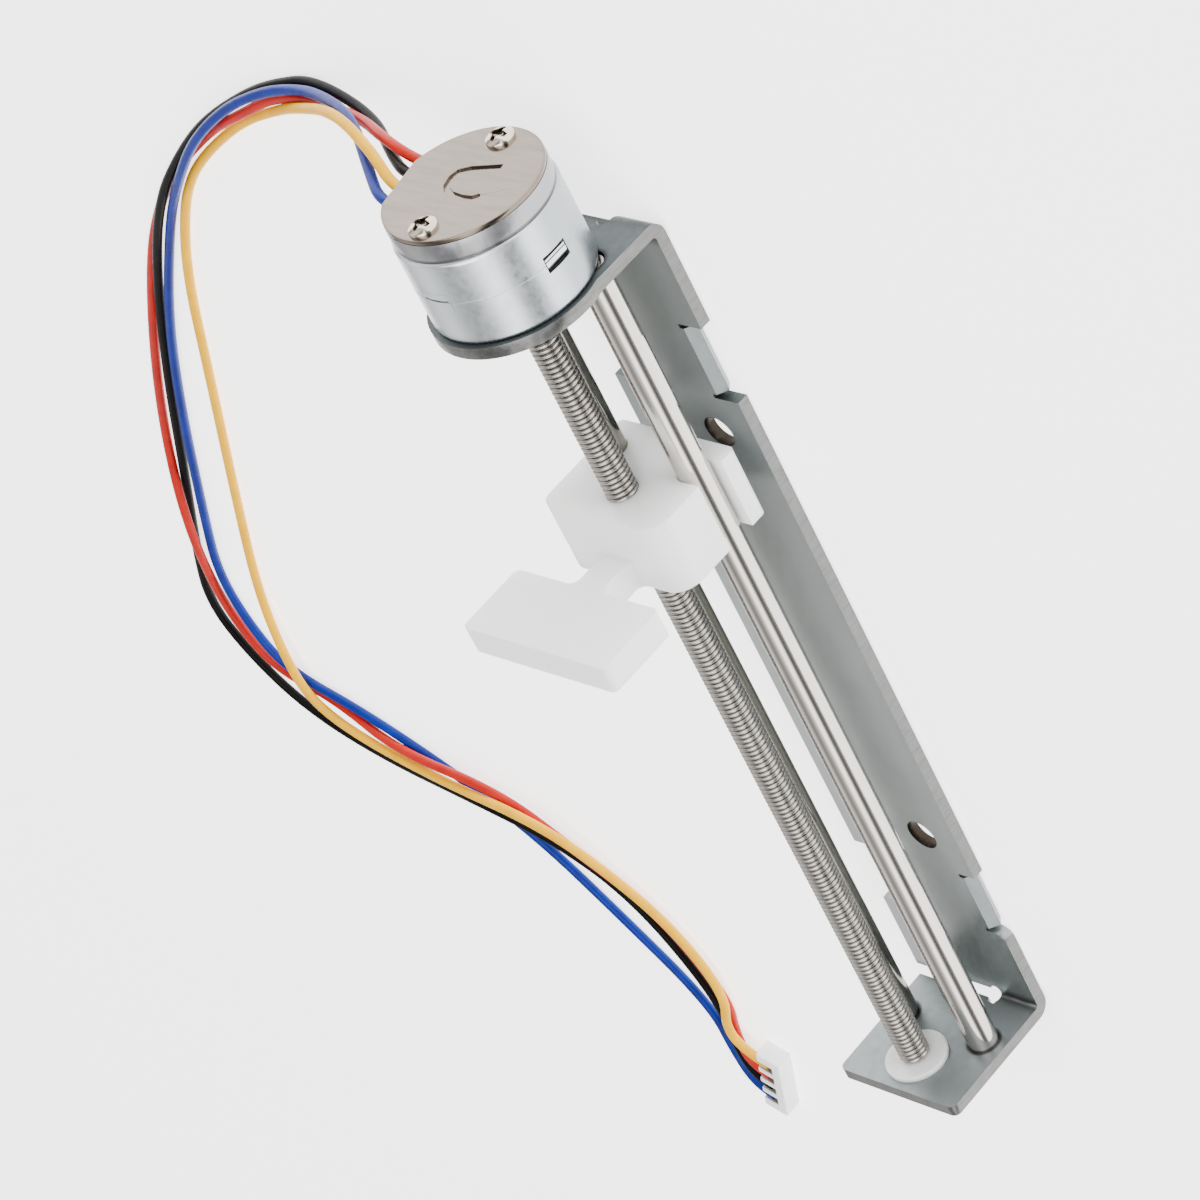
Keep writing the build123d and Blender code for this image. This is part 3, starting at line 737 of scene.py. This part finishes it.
def plug_clips():
    """Folded contacts, one in each pocket, gripping the end of its wire."""
    low = LEDGE + 0.02
    inner = CLIP_HALF - CLIP_SHEET
    outline = ((-CLIP_HALF, CLIP_TOP), (-CLIP_HALF, low), (CLIP_HALF, low), (CLIP_HALF, CLIP_TOP),
               (inner, CLIP_TOP), (inner, low + CLIP_SHEET), (-inner, low + CLIP_SHEET), (-inner, CLIP_TOP))
    count = len(outline)
    points, faces = [], []
    for middle in WAYS:
        start = len(points)
        for ahead in (ENTRY + 0.9, ENTRY + POCKET_DEEP - 0.05):
            for across, level in outline:
                points.append(on_plug(middle + across, ahead, level))
        faces += band(start, start + count, count)
        faces.append(tuple(reversed(range(start, start + count))))
        faces.append(tuple(range(start + count, start + 2 * count)))
    return add_mesh("plug_clips", points, faces, "contact", "frame", 30)


housing = plug_body()
soften(housing, 0.18)
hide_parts("plug_housing")
clips = plug_clips()
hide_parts("plug_contacts")

# Wires
WIRE = 1.3
# The same route points as in the part's source, in millimetres.
ROUTES = {
    "red": (
        (-69.6, -7.2, 11.9), (-69.6, -10.6, 11.8), (-70.8, -16.8, 10.7), (-68.6, -27.6, 5.9),
        (-64.3, -48.6, 0.7), (-59.7, -59.4, 2.4), (-55, -68.4, 0.7), (-47.3, -79.9, 0.7), (-39.4, -89, 0.7),
        (-29.2, -97.8, 0.7), (-10.5, -109.9, 0.9), (8.3, -120, 1), (22.2, -122.7, 3.2), (38.7, -129.3, 1.2),
        (49.3, -128.1, 0.8), (52.9, -123.5, 0.9), (55.8, -114.9, 0.7), (60.1, -103.7, 2.5),
        (63.2, -85.1, 1.8), (72, -76.2, 1), (80.8, -64.8, 0.7), (95.8, -59.2, 0.7), (104, -62, 0.7),
        (107.63, -59.46, 2.2), (108.72, -56.35, 2.2),
    ),
    "black": (
        (-69.6, -7.2, 14.2), (-69.6, -10.6, 14.1), (-68.9, -16.2, 11.3), (-67.9, -26, 4.9),
        (-67.4, -41.2, 0.7), (-65.4, -49.5, 0.7), (-62.6, -56.9, 0.7), (-57.9, -66.3, 2.1),
        (-51.1, -75.5, 2.2), (-42.3, -85.2, 2.4), (-27.5, -97.4, 1.1), (-6.1, -110.3, 0.7),
        (13.7, -120.2, 0.7), (31.3, -129.4, 0.7), (41.3, -133.5, 0.7), (49.9, -131.5, 0.7),
        (59.2, -124.8, 0.7), (64.8, -111.8, 0.9), (65.7, -90.4, 2.6), (71.5, -80.4, 0.8), (79.1, -68.6, 0.7),
        (95.8, -61.8, 0.7), (105.8, -63.2, 0.7), (110.04, -60.15, 2.2), (111.08, -57.18, 2.2),
    ),
    "blue": (
        (-69.6, -7.2, 18.8), (-69.6, -10.6, 18.7), (-69.8, -15.8, 15.1), (-70.8, -25.1, 8.1),
        (-68.3, -37.5, 3.5), (-66.6, -44.5, 2.2), (-65.2, -50.5, 2.3), (-61.8, -58.9, 2.7),
        (-56.1, -67.8, 3.6), (-47.6, -77.2, 3), (-36.9, -88.5, 0.8), (-18.6, -101.2, 1), (-1, -111, 0.8),
        (21.2, -121.2, 0.8), (34.3, -126.8, 0.8), (45.1, -126.3, 0.8), (51.6, -122.3, 1.1),
        (56.2, -109.2, 0.9), (64.9, -93.8, 0.7), (72.4, -82.4, 1.1), (83.9, -74.8, 0.7), (98.7, -64.3, 0.7),
        (108.5, -64.6, 0.7), (112.4, -60.98, 2.2), (113.44, -58.01, 2.2),
    ),
    "yellow": (
        (-69.6, -7.2, 16.5), (-69.6, -10.6, 16.4), (-71.8, -15.8, 13.6), (-72, -26.5, 9.1),
        (-65.5, -42.2, 3.8), (-61.7, -50.7, 1.3), (-57.9, -60.3, 0.7), (-51.8, -70.5, 0.7),
        (-46.2, -78, 0.7), (-39.2, -84.2, 0.7), (-27, -91.9, 0.7), (-8.2, -100.1, 0.7), (15.6, -110.7, 0.7),
        (35.1, -118.9, 0.8), (46.7, -119.3, 2.2), (54, -118.3, 2.7), (59, -111.6, 2.8), (63.8, -97.1, 2.5),
        (64.6, -77.6, 3.6), (72.4, -70.8, 1.9), (81.9, -61.9, 1.5), (93.3, -57.5, 1.8), (101.2, -61.1, 2.3),
        (105.32, -58.49, 2.2), (106.36, -55.52, 2.2),
    ),
}
for colour, route in ROUTES.items():
    curve = bpy.data.curves.new("lead_" + colour, "CURVE")
    curve.dimensions = "3D"
    curve.bevel_depth = WIRE / 2 * MM
    curve.bevel_resolution = 5
    curve.resolution_u = 10
    curve.use_fill_caps = True
    spline = curve.splines.new("NURBS")
    spline.points.add(len(route) - 1)
    for point, (x, y, z) in zip(spline.points, route):
        point.co = (x * MM, y * MM, z * MM, 1.0)
    spline.order_u = 3
    spline.use_endpoint_u = True
    spline.resolution_u = 12
    curve.materials.append(materials[colour])
    obj = bpy.data.objects.new("lead_" + colour, curve)
    scene.collection.objects.link(obj)
    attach(obj, "frame")
    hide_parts("wire_" + colour)

# Floor, in metres
HALF = 3.0
FLOOR_GLOW = 2.4
floor_mesh = bpy.data.meshes.new("floor")
corners = [(-HALF, -HALF, 0), (HALF, -HALF, 0), (HALF, HALF, 0), (-HALF, HALF, 0)]
floor_mesh.from_pydata(corners, [], [(0, 1, 2, 3)])
floor = bpy.data.objects.new("floor", floor_mesh)
scene.collection.objects.link(floor)
floor_mat, _, floor_shader = new_mat("floor_paper")
floor_shader.inputs["Base Color"].default_value = (0.96, 0.96, 0.96, 1)
floor_shader.inputs["Roughness"].default_value = 0.9
floor_shader.inputs["Emission Color"].default_value = (1.0, 1.0, 1.0, 1)
floor_shader.inputs["Emission Strength"].default_value = FLOOR_GLOW
floor_mesh.materials.append(floor_mat)

# Light
# Brightness by degrees from the +Y horizon over the top to the -Y horizon: one long soft light at
# about 50 degrees, dim overhead, and a weaker light at about 140 degrees.
SKY = ((0, 0.17), (9, 0.11), (15, 0.05), (26, 0.045), (34, 0.20), (43, 0.90), (50, 1.0), (59, 0.95),
       (70, 0.36), (82, 0.20), (93, 0.11), (107, 0.12), (120, 0.24), (131, 0.36), (143, 0.40),
       (156, 0.33), (168, 0.20), (180, 0.10))
SKY_STRENGTH = 4.2
WARM = (1.0, 0.985, 0.965)
world = bpy.data.worlds.new("studio")
scene.world = world
world.use_nodes = True
sky = world.node_tree
back = sky.nodes["Background"]
direction = node(sky, "ShaderNodeTexCoord")
split = node(sky, "ShaderNodeSeparateXYZ")
sky.links.new(direction.outputs["Generated"], split.inputs["Vector"])
angle = math_node(sky, "ARCTAN2", split.outputs["Z"], split.outputs["Y"])
across = node(sky, "ShaderNodeMapRange")
across.inputs["From Max"].default_value = math.pi
sky.links.new(angle, across.inputs["Value"])
tone = node(sky, "ShaderNodeValToRGB")
bar = tone.color_ramp
while len(bar.elements) < len(SKY):
    bar.elements.new(1.0)
for element, (degrees, bright) in zip(bar.elements, SKY):
    element.position = degrees / 180.0
    element.color = (*(bright * part for part in WARM), 1)
sky.links.new(across.outputs["Result"], tone.inputs["Fac"])
sky.links.new(tone.outputs["Color"], back.inputs["Color"])
back.inputs["Strength"].default_value = SKY_STRENGTH

FILL_PLACE = Vector((-0.30, 0.30, 0.90))
fill_data = bpy.data.lights.new("fill", "AREA")
fill_data.shape = "RECTANGLE"
fill_data.size = 0.8
fill_data.size_y = 0.8
fill_data.energy = 6.0
fill = bpy.data.objects.new("fill", fill_data)
scene.collection.objects.link(fill)
fill.location = FILL_PLACE
fill.rotation_euler = (-FILL_PLACE).to_track_quat("-Z", "Y").to_euler()

# Camera, fitted to the photograph
CAMERA_PLACE = Vector((-0.36015, 0.4159, 0.2714))
RIGHT = Vector((0.3838, 0.6848, -0.6195))
DOWN = Vector((0.7199, 0.1982, 0.6652))
AHEAD = Vector((0.5783, -0.7013, -0.4169))
camera_data = bpy.data.cameras.new("camera")
camera = bpy.data.objects.new("camera", camera_data)
scene.collection.objects.link(camera)
turn = Matrix((RIGHT, -DOWN, -AHEAD)).transposed().to_4x4()
camera.matrix_world = Matrix.Translation(CAMERA_PLACE) @ turn
camera_data.sensor_width = 36.0
camera_data.lens = 157.12
camera_data.clip_start = 0.01
scene.camera = camera
